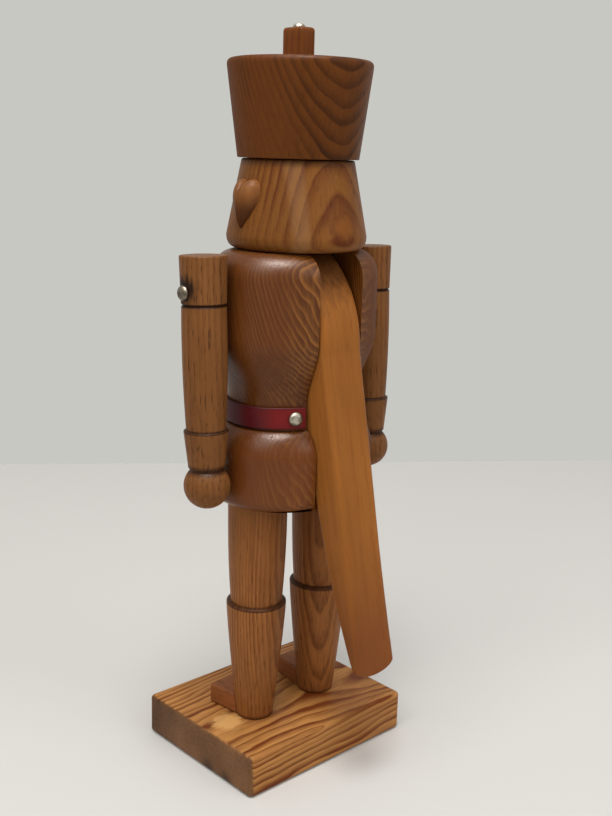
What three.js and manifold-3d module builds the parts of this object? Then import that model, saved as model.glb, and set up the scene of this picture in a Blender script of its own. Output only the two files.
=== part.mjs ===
// A wooden nutcracker soldier: turned legs, arms, head and hat on an oval, slotted torso,
// with a bandsawn lever whose front end is the jaw.
// Millimetres, +Z up. The soldier faces -Y and its left hand is on +X.
// The origin is the middle of the base's underside.
import * as THREE from "three";
import { mergeVertices } from "three/addons/utils/BufferGeometryUtils.js";
import Module from "manifold-3d";

const wasm = await Module();
wasm.setup();

// Fits
const glueLine = 0.3;
const holeFit = 0.3;
const runningFit = 0.25;

// Base
const baseWidth = 100;
const baseDepth = 80;
const baseHeight = 20;
const baseEdge = 1.2;
const bodyBack = 7;

// Legs
const legSpread = 20.4;
const legLength = 110.2;
const ankleRadius = 9;
const bootHeight = 59.5;
const collarRadius = 14.3;
const collarEdge = 1.2;
const kneeRadius = 12.3;
const thighRadius = 14;

// Feet
const footWidth = 16;
const footReach = 23;
const footHeight = 9.5;
const toeOut = 7;

// Screws up through the base, and dowels
const screwRadius = 2;
const screwHeadRadius = 4;
const screwHeadHeight = 3;
const screwSunk = 0.8;
const screwLength = 38;
const hipDowelRadius = 4;
const hipDowelLength = 24;
const neckDowelRadius = 3;
const neckDowelLength = 22;
const neckDowelSpread = 21;
const hatDowelRadius = 5;
const hatDowelLength = 30;

// Torso: half sizes of its oval, and heights from its underside up
const oval = 2.3;
const hipHalfWidth = 40.2;
const hipHalfDepth = 32.2;
const hipEdge = 4.5;
const hipHeight = 24.5;
const hipRound = 12.5;
const hipRoundPower = 1.5;
const waistHalfWidth = 32.2;
const waistHalfDepth = 25.2;
const chestHalfWidth = 40.4;
const chestHalfDepth = 31.7;
const chestRise = 29;
const chestHeight = 26.2;
const shoulderDrop = 12;
const shoulderIn = 10;

// Belt and its nails
const beltHeight = 10;
const beltThickness = 1.6;
const beltMargin = 0.75;
const beltSetback = 1.5;
const beltNailOut = 19.3;
const nailHeadRadius = 3.3;
const nailHeadHeight = 1.9;
const nailRadius = 0.9;
const nailLength = 7;

// Lever in its slot: side view, back from the body's axis and up from the torso's underside
const slotWidth = 26;
const slotSideFit = 1;
const slotFloorFit = 0.4;
const sillFit = 1.5;
const leverOpens = 35;
const pivotBack = 8;
const pivotDrop = 23.2;
const pinRadius = 3;
const pinBlindEnd = 27;
const pinSunk = 2.5;
const tailDrop = 73.5;
const tailReach = 61.5;
const tailTip = 3.2;
const tailTipRound = 6;
const tailBendReach = 36.8;
const tailBendDrop = 22;
const throatBack = 9.5;
const throatDrop = 47;
const napeBack = 33.5;
const napeDrop = 43.7;
const napeFullBack = 33;
const napeFullDrop = 17.2;
const crownBack = 12.5;
const jawSunk = 1.3;
const jawReach = 33;
const chinHeight = 27;
const chinEdge = 2.5;

// Arms, measured down from the cap's top
const armGap = 0.5;
const armForward = 2;
const armSwing = 2;
const armTopDrop = 0.9;
const capRadius = 10.5;
const capLowRadius = 9.95;
const capHeight = 20.8;
const grooveHeight = 1;
const grooveDepth = 0.9;
const turnedEdge = 0.6;
const leftSleeveLength = 55;
const rightSleeveLength = 53.7;
const sleeveTopRadius = 9.9;
const sleeveLowRadius = 8.85;
const sleeveSwell = 10.4;
const cuffHeight = 17.2;
const cuffTopRadius = 10.1;
const cuffLowRadius = 8.2;
const wristRadius = 7.4;
const wristHeight = 0.9;
const handRadius = 10.5;
const shoulderNailDrop = 15.7;
const shoulderNailForward = 1;
const shoulderNailRadius = 1.3;
const shoulderNailLength = 37;

// Head, mouth and face
const headHeight = 39.5;
const headLowRadius = 32;
const headTopRadius = 25.4;
const headRoundUp = 6;
const headRoundIn = 4.5;
const headTopEdge = 0.8;
const mouthHeight = 9;
const mouthInner = 8;
const earWidth = 15;
const earHeight = 22;
const earThickness = 6;
const earCrestUp = 3;
const earUp = 9.3;
const earForward = 2.6;
const noseWidth = 9;
const noseHeight = 13;
const noseThickness = 8;
const noseUp = 14.5;
const eyeUp = 27;
const eyeTurn = 21;
const eyeHeadRadius = 2.6;

// Hat and its peg
const hatHeight = 42.3;
const hatLowRadius = 27.4;
const hatTopRadius = 32.8;
const hatLowEdge = 0.5;
const hatTopEdge = 3;
const pegWidth = 8.4;
const pegDepth = 12.4;
const pegHeight = 13.7;
const pegForward = 1.5;
const pegSunk = 12;
const pegEdge = 1;
const pegNailHeadRadius = 2.8;

// How finely the round forms are faceted
const bodySides = 40;
const limbSides = 20;
const rodSides = 12;
const curveSteps = 4;
const easeSteps = 6;

// Heights that follow from the sizes above
const legBottom = baseHeight + glueLine;
const hipsZ = legBottom + legLength + glueLine;
const waistLow = hipHeight + hipRound;
const waistHigh = waistLow + beltHeight + 2 * beltMargin;
const chestLow = waistHigh + chestRise;
const shoulderLow = chestLow + chestHeight;
const torsoHeight = shoulderLow + shoulderDrop;
const headLow = torsoHeight + glueLine;
const headHigh = headLow + headHeight;
const hatLow = headHigh + glueLine;
const hatHigh = hatLow + hatHeight;
const pivotUp = torsoHeight - pivotDrop;
const leverWidth = slotWidth - 2 * slotSideFit;
const armX = chestHalfWidth + armGap + capRadius;
const armTop = torsoHeight - armTopDrop;
const shoulderNailUp = armTop - shoulderNailDrop;
const shoulderNailBack = -armForward - shoulderNailForward;

const rad = THREE.MathUtils.degToRad;
const up = new THREE.Vector3(0, 0, 1);

// Finishes
const wood = (colour, roughness) => {
  return new THREE.MeshStandardMaterial({ color: colour, roughness, metalness: 0 });
};
const finish = {
  amber: wood("#9a5f31", 0.42),
  hat: wood("#8a5029", 0.42),
  lever: wood("#b0702f", 0.48),
  red: wood("#7c452a", 0.5),
  striped: wood("#b98245", 0.48),
  dowel: wood("#c9a877", 0.7),
  leather: wood("#6e1a1f", 0.45),
  nail: new THREE.MeshStandardMaterial({ color: "#a89c80", roughness: 0.35, metalness: 1 }),
  steel: new THREE.MeshStandardMaterial({ color: "#8c8f94", roughness: 0.4, metalness: 1 }),
};

// A closed geometry as a solid that can be cut and joined.
function solidOf(geometry) {
  const bare = new THREE.BufferGeometry();
  bare.setAttribute("position", geometry.getAttribute("position"));
  bare.setIndex(geometry.getIndex());
  const merged = mergeVertices(bare, 1e-4);
  const corners = merged.getIndex().array;
  const kept = [];
  for (let i = 0; i < corners.length; i += 3) {
    const [a, b, c] = [corners[i], corners[i + 1], corners[i + 2]];
    if (a !== b && b !== c && c !== a) kept.push(a, b, c);
  }
  const vertProperties = merged.getAttribute("position").array;
  const mesh = new wasm.Mesh({ numProp: 3, vertProperties, triVerts: new Uint32Array(kept) });
  return new wasm.Manifold(mesh);
}

function geometryOf(solid) {
  const mesh = solid.getMesh();
  const geometry = new THREE.BufferGeometry();
  geometry.setAttribute("position", new THREE.BufferAttribute(mesh.vertProperties, 3));
  geometry.setIndex(new THREE.BufferAttribute(mesh.triVerts, 1));
  geometry.computeVertexNormals();
  return geometry;
}

function cut(geometry, ...tools) {
  return geometryOf(tools.reduce((left, tool) => left.subtract(solidOf(tool)), solidOf(geometry)));
}

function common(geometry, other) {
  return geometryOf(solidOf(geometry).intersect(solidOf(other)));
}

// A piece turned about the Z axis from a profile of radius and height.
function turned(profile, sides) {
  return new THREE.LatheGeometry(profile.getPoints(curveSteps), sides).rotateX(Math.PI / 2);
}

// A round rod along Z, from one height to another.
function rod(radius, low, high, sides = rodSides) {
  const geometry = new THREE.CylinderGeometry(radius, radius, high - low, sides);
  return geometry.rotateX(Math.PI / 2).translate(0, 0, (low + high) / 2);
}

function block(width, depth, low, high) {
  return new THREE.BoxGeometry(width, depth, high - low).translate(0, 0, (low + high) / 2);
}

// A board of one width across X, sawn to a side view drawn back (Y) and up (Z).
function board(sideView, width) {
  const geometry = new THREE.ExtrudeGeometry(sideView, {
    depth: width,
    bevelEnabled: false,
    curveSegments: easeSteps,
  });
  const across = new THREE.Vector3(1, 0, 0);
  const turn = new THREE.Matrix4().makeBasis(new THREE.Vector3(0, 1, 0), up, across);
  return geometry.translate(0, 0, -width / 2).applyMatrix4(turn);
}

// Turns a piece made along +Z to point another way, and sets it at a place.
function aim(geometry, direction, place) {
  const turn = new THREE.Quaternion().setFromUnitVectors(up, direction.clone().normalize());
  return geometry.applyQuaternion(turn).translate(place.x, place.y, place.z);
}

function part(name, geometry, material) {
  const mesh = new THREE.Mesh(geometryOf(solidOf(geometry)), material);
  mesh.name = name;
  return mesh;
}

const sides = [
  { name: "left", sign: 1, sleeveLength: leftSleeveLength },
  { name: "right", sign: -1, sleeveLength: rightSleeveLength },
];

const soldier = new THREE.Group();
const body = new THREE.Group();
body.position.set(0, bodyBack, hipsZ);
soldier.add(body);

// Base block, with its edges eased and its screw holes sunk from below
function roundedRectangle(width, depth, radius) {
  const shape = new THREE.Shape();
  const [x, y] = [width / 2, depth / 2];
  shape.moveTo(-x + radius, -y);
  shape.lineTo(x - radius, -y);
  shape.absarc(x - radius, -y + radius, radius, -Math.PI / 2, 0);
  shape.lineTo(x, y - radius);
  shape.absarc(x - radius, y - radius, radius, 0, Math.PI / 2);
  shape.lineTo(-x + radius, y);
  shape.absarc(-x + radius, y - radius, radius, Math.PI / 2, Math.PI);
  shape.lineTo(-x, -y + radius);
  shape.absarc(-x + radius, -y + radius, radius, Math.PI, 1.5 * Math.PI);
  return shape;
}

function easedBlock(width, depth, height, edge) {
  const shape = roundedRectangle(width - 2 * edge, depth - 2 * edge, edge);
  const geometry = new THREE.ExtrudeGeometry(shape, {
    depth: height - 2 * edge,
    bevelEnabled: true,
    bevelThickness: edge,
    bevelSize: edge,
    bevelSegments: 2,
    curveSegments: 3,
  });
  return geometry.translate(0, 0, edge);
}

function screw(fit) {
  const profile = new THREE.Path();
  profile.moveTo(0, screwSunk - fit);
  profile.lineTo(screwHeadRadius + fit, screwSunk - fit);
  profile.lineTo(screwRadius + fit, screwSunk + screwHeadHeight);
  profile.lineTo(screwRadius + fit, screwSunk + screwLength - 2 * screwRadius);
  profile.lineTo(0, screwSunk + screwLength + fit);
  return turned(profile, rodSides);
}

const screwHoles = sides.flatMap(({ sign }) => {
  const x = sign * legSpread;
  const mouth = rod(screwHeadRadius + holeFit, -baseEdge, screwSunk);
  return [screw(holeFit).translate(x, bodyBack, 0), mouth.translate(x, bodyBack, 0)];
});
const baseBlock = easedBlock(baseWidth, baseDepth, baseHeight, baseEdge);
soldier.add(part("base_plinth", cut(baseBlock, ...screwHoles), finish.striped));

// Legs: a boot that widens to its collar, and the thigh that comes out of it
function legProfile(extra) {
  const calf = collarRadius - ankleRadius;
  const profile = new THREE.Path();
  profile.moveTo(0, -extra);
  profile.lineTo(ankleRadius + extra, -extra);
  profile.quadraticCurveTo(
    ankleRadius + 0.95 * calf + extra,
    0.8 * bootHeight,
    collarRadius + extra,
    bootHeight - collarEdge,
  );
  profile.lineTo(collarRadius - collarEdge + extra, bootHeight + extra);
  profile.lineTo(kneeRadius + extra, bootHeight + extra);
  profile.quadraticCurveTo(
    thighRadius + extra,
    bootHeight + 0.4 * (legLength - bootHeight),
    thighRadius + extra,
    legLength + extra,
  );
  profile.lineTo(0, legLength + extra);
  return profile;
}

function dowel(radius, length) {
  const chamfer = radius / 4;
  const profile = new THREE.Path();
  profile.moveTo(0, -length / 2);
  profile.lineTo(radius - chamfer, -length / 2);
  profile.lineTo(radius, -length / 2 + chamfer);
  profile.lineTo(radius, length / 2 - chamfer);
  profile.lineTo(radius - chamfer, length / 2);
  profile.lineTo(0, length / 2);
  return turned(profile, rodSides);
}

function dowelHole(radius, length) {
  return rod(radius + holeFit, -length / 2 - holeFit, length / 2 + holeFit);
}

const hipDowelUp = -glueLine / 2;
for (const { name, sign } of sides) {
  const leg = new THREE.Group();
  leg.position.set(sign * legSpread, bodyBack, legBottom);
  soldier.add(leg);
  const hipHole = dowelHole(hipDowelRadius, hipDowelLength);
  const legBlank = cut(
    turned(legProfile(0), limbSides),
    screw(holeFit).translate(0, 0, -legBottom),
    hipHole.translate(0, 0, legLength - hipDowelUp),
  );
  leg.add(part(name + "_leg", legBlank, finish.amber));
  leg.add(part(name + "_leg_screw", screw(0).translate(0, 0, -legBottom), finish.steel));

  const toes = block(footWidth, footReach, 0, footHeight).translate(0, -footReach / 2, 0);
  const foot = part(name + "_foot", cut(toes, turned(legProfile(glueLine), limbSides)), finish.red);
  foot.rotation.z = sign * rad(toeOut);
  leg.add(foot);

  const hipDowel = dowel(hipDowelRadius, hipDowelLength);
  hipDowel.translate(sign * legSpread, 0, hipDowelUp);
  body.add(part(name + "_hip_dowel", hipDowel, finish.dowel));
}

// Torso: an oval whose half width and half depth follow its height
function roundOver(share, power) {
  return (1 - share ** power) ** (1 / power);
}

function ease(share) {
  return (1 - Math.cos(Math.PI * share)) / 2;
}

// The torso's half size at a height, from the half sizes of its hips, waist and chest.
function torsoHalf(height, hip, waist, chest) {
  if (height < hipEdge) return hip - hipEdge * (1 - roundOver(1 - height / hipEdge, 2));
  if (height < hipHeight) return hip;
  if (height < waistLow) {
    return waist + (hip - waist) * roundOver((height - hipHeight) / hipRound, hipRoundPower);
  }
  if (height < waistHigh) return waist;
  if (height < chestLow) return waist + (chest - waist) * ease((height - waistHigh) / chestRise);
  if (height < shoulderLow) return chest;
  return chest - shoulderIn * (1 - roundOver((height - shoulderLow) / shoulderDrop, 2));
}

function steps(low, high, count) {
  return Array.from({ length: count + 1 }, (_, i) => low + ((high - low) * i) / count);
}

// A point on an oval, at an angle from straight back (+Y) towards the left (+X).
function ovalPoint(halfWidth, halfDepth, angle) {
  const [s, c] = [Math.sin(angle), Math.cos(angle)];
  const x = halfWidth * Math.sign(s) * Math.abs(s) ** (2 / oval);
  const y = halfDepth * Math.sign(c) * Math.abs(c) ** (2 / oval);
  return new THREE.Vector2(x, y);
}

function torsoBlank() {
  const levels = new Set([
    ...steps(0, hipEdge, 3),
    ...steps(hipHeight, waistLow, easeSteps),
    ...steps(waistHigh, chestLow, easeSteps),
    ...steps(shoulderLow, torsoHeight, easeSteps),
  ]);
  const profile = [...levels].map((height) => new THREE.Vector2(1, height));
  profile.unshift(new THREE.Vector2(0, 0));
  profile.push(new THREE.Vector2(0, torsoHeight));
  const geometry = new THREE.LatheGeometry(profile, bodySides).rotateX(Math.PI / 2);
  const place = geometry.getAttribute("position");
  for (let i = 0; i < place.count; i++) {
    if (Math.hypot(place.getX(i), place.getY(i)) < 0.5) continue;
    const height = place.getZ(i);
    const halfWidth = torsoHalf(height, hipHalfWidth, waistHalfWidth, chestHalfWidth);
    const halfDepth = torsoHalf(height, hipHalfDepth, waistHalfDepth, chestHalfDepth);
    const angle = Math.atan2(place.getX(i), place.getY(i));
    const point = ovalPoint(halfWidth, halfDepth, angle);
    place.setXY(i, point.x, point.y);
  }
  return geometry;
}

// Lever in its side view: tail, front of the tail, throat, chin, jaw, crown and nape
const jawTop = torsoHeight - jawSunk;
const chinLow = jawTop - chinHeight;
const tailBend = new THREE.Vector2(tailBendReach, -tailBendDrop);
const throat = new THREE.Vector2(throatBack, torsoHeight - throatDrop);
const nape = new THREE.Vector2(napeBack, torsoHeight - napeDrop);

function leverOutline() {
  const shape = new THREE.Shape();
  shape.moveTo(tailReach, -tailDrop);
  shape.lineTo(nape.x, nape.y);
  shape.quadraticCurveTo(napeFullBack, torsoHeight - napeFullDrop, crownBack, jawTop);
  shape.lineTo(-jawReach + chinEdge, jawTop);
  shape.absarc(-jawReach + chinEdge, jawTop - chinEdge, chinEdge, Math.PI / 2, Math.PI);
  shape.lineTo(-jawReach, chinLow + chinEdge);
  shape.absarc(-jawReach + chinEdge, chinLow + chinEdge, chinEdge, Math.PI, 1.5 * Math.PI);
  shape.quadraticCurveTo(throat.x - pivotBack / 2, chinLow, throat.x, throat.y);
  shape.lineTo(tailBend.x, tailBend.y);
  shape.quadraticCurveTo(
    tailBendReach + 0.39 * (tailReach - tailBendReach),
    -tailBendDrop - 0.5 * (tailDrop - tailBendDrop),
    tailReach - tailTip,
    -tailDrop,
  );
  return shape;
}

// The rounded end of the tail, as it shows from behind.
function tailEnd() {
  const half = leverWidth / 2 + slotSideFit;
  const shape = new THREE.Shape();
  shape.moveTo(-half, torsoHeight);
  shape.lineTo(-half, -tailDrop + tailTipRound);
  shape.absellipse(0, -tailDrop + tailTipRound, half, tailTipRound, Math.PI, 2 * Math.PI);
  shape.lineTo(half, torsoHeight);
  const reach = 2 * (tailReach + jawReach);
  const geometry = new THREE.ExtrudeGeometry(shape, {
    depth: reach,
    bevelEnabled: false,
    curveSegments: easeSteps,
  });
  return geometry.rotateX(Math.PI / 2).translate(0, reach / 2, 0);
}

function pivotRod(radius, right, left) {
  return rod(radius, right, left, rodSides).rotateY(Math.PI / 2).translate(0, pivotBack, pivotUp);
}

// Where the chin's lower corner comes to when the lever is lifted all the way.
function loweredChin() {
  const corner = new THREE.Vector2(-jawReach - pivotBack, chinLow - pivotUp);
  return corner.rotateAround(new THREE.Vector2(0, 0), rad(leverOpens)).y + pivotUp;
}

// The slot: through from front to back above its sill, and below it only as deep as the lever needs.
function slotOutline() {
  const sill = loweredChin() - sillFit;
  const slope = (tailBend.x - throat.x) / (throat.y - tailBend.y);
  const floorAt = (height) => throat.x + (throat.y - height) * slope - slotFloorFit;
  const clear = hipHalfDepth + chestHalfDepth;
  const shape = new THREE.Shape();
  shape.moveTo(-clear, torsoHeight + shoulderDrop);
  shape.lineTo(-clear, sill);
  shape.lineTo(floorAt(sill), sill);
  shape.lineTo(floorAt(-hipEdge), -hipEdge);
  shape.lineTo(clear, -hipEdge);
  shape.lineTo(clear, torsoHeight + shoulderDrop);
  return shape;
}

// Nails with domed heads, made with the head's underside at the origin and the point down
function nail(headRadius, radius, length, fit = 0) {
  const profile = new THREE.Path();
  profile.moveTo(0, -length - fit);
  profile.lineTo(radius + fit, -length + 2 * radius);
  profile.lineTo(radius + fit, 0);
  profile.lineTo(headRadius, 0);
  profile.lineTo(headRadius, nailHeadHeight / 5);
  profile.quadraticCurveTo(0.8 * headRadius, nailHeadHeight, 0, nailHeadHeight);
  return turned(profile, rodSides);
}

function nailHole(radius, length) {
  return rod(radius + holeFit, -length - holeFit, 2 * nailHeadHeight);
}

// The strap lies in the waist, and its nails stand square to it.
const beltHalfWidth = waistHalfWidth + glueLine + beltThickness;
const beltHalfDepth = waistHalfDepth + glueLine + beltThickness;
const beltLow = waistLow + beltMargin;

function angleAt(x, halfWidth) {
  return Math.asin((x / halfWidth) ** (oval / 2));
}

function beltNailSpot(sign) {
  const angle = angleAt(beltNailOut, beltHalfWidth);
  const point = ovalPoint(beltHalfWidth, beltHalfDepth, angle);
  const slopeX = (point.x / beltHalfWidth) ** (oval - 1) / beltHalfWidth;
  const slopeY = (point.y / beltHalfDepth) ** (oval - 1) / beltHalfDepth;
  const direction = new THREE.Vector3(sign * slopeX, slopeY, 0).normalize();
  const place = new THREE.Vector3(sign * point.x, point.y, beltLow + beltHeight / 2);
  return { direction, place: place.addScaledVector(direction, glueLine) };
}

function beltStrap() {
  const end = slotWidth / 2 + beltSetback;
  const arc = (halfWidth, halfDepth) => {
    const start = angleAt(end, halfWidth);
    const angles = steps(start, 2 * Math.PI - start, bodySides);
    return angles.map((angle) => ovalPoint(halfWidth, halfDepth, angle));
  };
  const outer = arc(beltHalfWidth, beltHalfDepth);
  const inner = arc(waistHalfWidth + glueLine, waistHalfDepth + glueLine);
  const shape = new THREE.Shape([...outer, ...inner.reverse()]);
  const geometry = new THREE.ExtrudeGeometry(shape, { depth: beltHeight, bevelEnabled: false });
  return geometry.translate(0, 0, beltLow);
}

// The shoulder nail's head rests on the arm's outer side.
const capTaper = (capRadius - capLowRadius) / capHeight;
const shoulderNailX = armX + capRadius - capTaper * shoulderNailDrop + glueLine;

const shoulderNailSpot = (sign) => ({
  direction: new THREE.Vector3(sign, 0, 0),
  place: new THREE.Vector3(sign * shoulderNailX, shoulderNailBack, shoulderNailUp),
});

const torsoHoles = sides.flatMap(({ sign }) => {
  const shoulder = shoulderNailSpot(sign);
  const belt = beltNailSpot(sign);
  const hip = dowelHole(hipDowelRadius, hipDowelLength);
  const neck = dowelHole(neckDowelRadius, neckDowelLength);
  return [
    aim(nailHole(shoulderNailRadius, shoulderNailLength), shoulder.direction, shoulder.place),
    aim(nailHole(nailRadius, nailLength), belt.direction, belt.place),
    hip.translate(sign * legSpread, 0, hipDowelUp),
    neck.translate(sign * neckDowelSpread, 0, torsoHeight + glueLine / 2),
  ];
});
const torso = cut(
  torsoBlank(),
  board(slotOutline(), slotWidth),
  pivotRod(pinRadius + holeFit, -chestHalfWidth - pinSunk, pinBlindEnd + holeFit),
  ...torsoHoles,
);
body.add(part("torso", torso, finish.amber));

const lever = cut(
  common(board(leverOutline(), leverWidth), tailEnd()),
  pivotRod(pinRadius + runningFit, -slotWidth, slotWidth),
);
body.add(part("lever", lever, finish.lever));
const pin = pivotRod(pinRadius, -chestHalfWidth + pinSunk, pinBlindEnd);
body.add(part("lever_pin", pin, finish.steel));

const beltHoles = sides.map(({ sign }) => {
  const { direction, place } = beltNailSpot(sign);
  return aim(nailHole(nailRadius, nailLength), direction, place);
});
body.add(part("belt", cut(beltStrap(), ...beltHoles), finish.leather));
for (const { name, sign } of sides) {
  const { direction, place } = beltNailSpot(sign);
  const beltNail = aim(nail(nailHeadRadius, nailRadius, nailLength), direction, place);
  body.add(part(name + "_belt_nail", beltNail, finish.nail));
}

// Arms: cap, groove, sleeve, cuff and ball hand, turned in one piece
function armProfile(sleeveLength) {
  const sleeveTop = -capHeight - grooveHeight;
  const cuffTop = sleeveTop - sleeveLength;
  const cuffLow = cuffTop - cuffHeight;
  const handTurn = Math.acos(wristRadius / handRadius);
  const handMiddle = cuffLow - wristHeight - handRadius * Math.sin(handTurn);
  const profile = new THREE.Path();
  profile.moveTo(0, handMiddle - handRadius);
  profile.absarc(0, handMiddle, handRadius, -Math.PI / 2, handTurn);
  profile.lineTo(wristRadius, cuffLow);
  profile.lineTo(cuffLowRadius - turnedEdge, cuffLow);
  profile.lineTo(cuffLowRadius, cuffLow + turnedEdge);
  profile.lineTo(cuffTopRadius, cuffTop - turnedEdge);
  profile.lineTo(cuffTopRadius - turnedEdge, cuffTop);
  profile.lineTo(sleeveLowRadius, cuffTop);
  profile.quadraticCurveTo(
    sleeveSwell,
    (cuffTop + sleeveTop) / 2,
    sleeveTopRadius,
    sleeveTop - turnedEdge,
  );
  profile.lineTo(sleeveTopRadius - turnedEdge, sleeveTop);
  profile.lineTo(sleeveTopRadius - grooveDepth, sleeveTop);
  profile.lineTo(sleeveTopRadius - grooveDepth, -capHeight);
  profile.lineTo(capLowRadius - turnedEdge, -capHeight);
  profile.lineTo(capLowRadius, -capHeight + turnedEdge);
  profile.lineTo(capRadius, -turnedEdge);
  profile.lineTo(capRadius - turnedEdge, 0);
  profile.lineTo(0, 0);
  return profile;
}

// An arm stands in place, swung back a little about its nail.
function hungArm(sign, sleeveLength) {
  const blank = turned(armProfile(sleeveLength), limbSides);
  blank.translate(0, -armForward - shoulderNailBack, shoulderNailDrop).rotateX(rad(armSwing));
  return blank.translate(sign * armX, shoulderNailBack, shoulderNailUp);
}

for (const { name, sign, sleeveLength } of sides) {
  const { direction, place } = shoulderNailSpot(sign);
  const armBlank = hungArm(sign, sleeveLength);
  const hole = aim(nailHole(shoulderNailRadius, shoulderNailLength), direction, place);
  body.add(part(name + "_arm", cut(armBlank, hole), finish.amber));
  const shank = aim(nail(nailHeadRadius, shoulderNailRadius, shoulderNailLength), direction, place);
  body.add(part(name + "_shoulder_nail", shank, finish.nail));
}

// Head: a cone with a well-rounded lower edge, and a mouth cut in from below
function headProfile(extra) {
  const profile = new THREE.Path();
  profile.moveTo(0, headLow);
  profile.lineTo(headLowRadius - headRoundIn + extra, headLow);
  profile.quadraticCurveTo(
    headLowRadius + extra,
    headLow,
    headLowRadius + extra,
    headLow + headRoundUp,
  );
  profile.lineTo(headTopRadius + extra, headHigh - headTopEdge);
  profile.lineTo(headTopRadius - headTopEdge + extra, headHigh);
  profile.lineTo(0, headHigh);
  return profile;
}

const headSlope = (headLowRadius - headTopRadius) / (headHeight - headRoundUp - headTopEdge);
const headRadiusAt = (height) => headLowRadius - headSlope * (height - headRoundUp);

function eyeSpot(sign) {
  const turn = sign * rad(eyeTurn);
  const radius = headRadiusAt(eyeUp);
  const direction = new THREE.Vector3(Math.sin(turn), -Math.cos(turn), headSlope).normalize();
  const place = new THREE.Vector3(Math.sin(turn) * radius, -Math.cos(turn) * radius, headLow + eyeUp);
  return { direction, place: place.addScaledVector(direction, glueLine) };
}

const headHoles = sides.flatMap(({ sign }) => {
  const eye = eyeSpot(sign);
  const neck = dowelHole(neckDowelRadius, neckDowelLength);
  return [
    aim(nailHole(nailRadius, nailLength), eye.direction, eye.place),
    neck.translate(sign * neckDowelSpread, 0, torsoHeight + glueLine / 2),
  ];
});
const mouthDepth = 2 * headLowRadius;
const mouth = block(slotWidth, mouthDepth, headLow - headRoundUp, headLow + mouthHeight);
mouth.translate(0, -mouthInner - mouthDepth / 2, 0);
const hatDowelUp = headHigh + glueLine / 2;
const hatHole = () => dowelHole(hatDowelRadius, hatDowelLength).translate(0, 0, hatDowelUp);
const headBlank = turned(headProfile(0), bodySides);
body.add(part("head", cut(headBlank, mouth, hatHole(), ...headHoles), finish.amber));

for (const { name, sign } of sides) {
  const { direction, place } = eyeSpot(sign);
  const eye = aim(nail(eyeHeadRadius, nailRadius, nailLength), direction, place);
  body.add(part(name + "_eye", eye, finish.nail));
  const neckDowel = dowel(neckDowelRadius, neckDowelLength);
  neckDowel.translate(sign * neckDowelSpread, 0, torsoHeight + glueLine / 2);
  body.add(part(name + "_neck_dowel", neckDowel, finish.dowel));
}

// A domed piece: its outline is drawn in towards its crest, above its middle, as it rises to the top.
function domed(outline, foot, top, crest) {
  const rise = steps(0, 1, curveSteps).slice(0, -1);
  const rings = rise.map((share) => ({ scale: roundOver(share, 1.8), height: share * top }));
  rings.unshift({ scale: 1, height: foot });
  const count = outline.length;
  const vertices = [0, crest, foot];
  for (const { scale, height } of rings) {
    for (const { x, y } of outline) vertices.push(x * scale, crest + (y - crest) * scale, height);
  }
  vertices.push(0, crest, top);
  const last = vertices.length / 3 - 1;
  const corner = (ring, i) => 1 + ring * count + (i % count);
  const faces = [];
  for (let i = 0; i < count; i++) {
    faces.push(0, corner(0, i + 1), corner(0, i));
    for (let ring = 0; ring + 1 < rings.length; ring++) {
      faces.push(corner(ring, i), corner(ring, i + 1), corner(ring + 1, i + 1));
      faces.push(corner(ring, i), corner(ring + 1, i + 1), corner(ring + 1, i));
    }
    faces.push(corner(rings.length - 1, i), corner(rings.length - 1, i + 1), last);
  }
  const geometry = new THREE.BufferGeometry();
  geometry.setAttribute("position", new THREE.Float32BufferAttribute(vertices, 3));
  geometry.setIndex(faces);
  return geometry;
}

// A heart with its point down, drawn about its middle.
function heart(width, height) {
  const [x, y] = [width / 2, height / 2];
  const shape = new THREE.Shape();
  shape.moveTo(0, 0.66 * y);
  shape.bezierCurveTo(0.25 * x, 1.15 * y, x, 1.05 * y, x, 0.4 * y);
  shape.bezierCurveTo(x, -0.15 * y, 0.35 * x, -0.6 * y, 0, -y);
  shape.bezierCurveTo(-0.35 * x, -0.6 * y, -x, -0.15 * y, -x, 0.4 * y);
  shape.bezierCurveTo(-x, 1.05 * y, -0.25 * x, 1.15 * y, 0, 0.66 * y);
  return shape.getPoints(easeSteps).slice(0, -1).reverse();
}

// An egg with its wide end down, drawn about its middle.
function egg(width, height) {
  const angles = steps(0, 2 * Math.PI, rodSides).slice(0, -1);
  return angles.map((angle) => {
    const y = (height / 2) * Math.sin(angle);
    return new THREE.Vector2((width / 2) * Math.cos(angle) * (1 - 0.25 * Math.sin(angle)), y);
  });
}

// Sets a domed piece upright on the head's slope, facing a given way round, and fits its back to the head.
function onHead(outline, thickness, crest, middleUp, facing) {
  const foot = -thickness;
  const lean = Math.atan(headSlope);
  const geometry = domed(outline, foot, thickness, crest).rotateX(Math.PI / 2 - lean);
  geometry.translate(0, -headRadiusAt(middleUp), headLow + middleUp).rotateZ(facing);
  return cut(geometry, turned(headProfile(glueLine), bodySides));
}

for (const { name, sign } of sides) {
  const ear = heart(earWidth, earHeight);
  const middle = earUp + earHeight / 2;
  const fitted = onHead(ear, earThickness, earCrestUp, middle, sign * rad(90 - earForward));
  body.add(part(name + "_ear", fitted, finish.amber));
}
const noseShape = egg(noseWidth, noseHeight);
const noseMiddle = noseUp + noseHeight / 2;
body.add(part("nose", onHead(noseShape, noseThickness, 0, noseMiddle, 0), finish.amber));

// Hat: a cone that widens to its rounded top, with a mortise for the peg
function hatProfile() {
  const profile = new THREE.Path();
  profile.moveTo(0, hatLow);
  profile.lineTo(hatLowRadius - hatLowEdge, hatLow);
  profile.lineTo(hatLowRadius, hatLow + hatLowEdge);
  profile.lineTo(hatTopRadius, hatHigh - hatTopEdge);
  profile.quadraticCurveTo(hatTopRadius, hatHigh, hatTopRadius - hatTopEdge, hatHigh);
  profile.lineTo(0, hatHigh);
  return profile;
}

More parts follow.
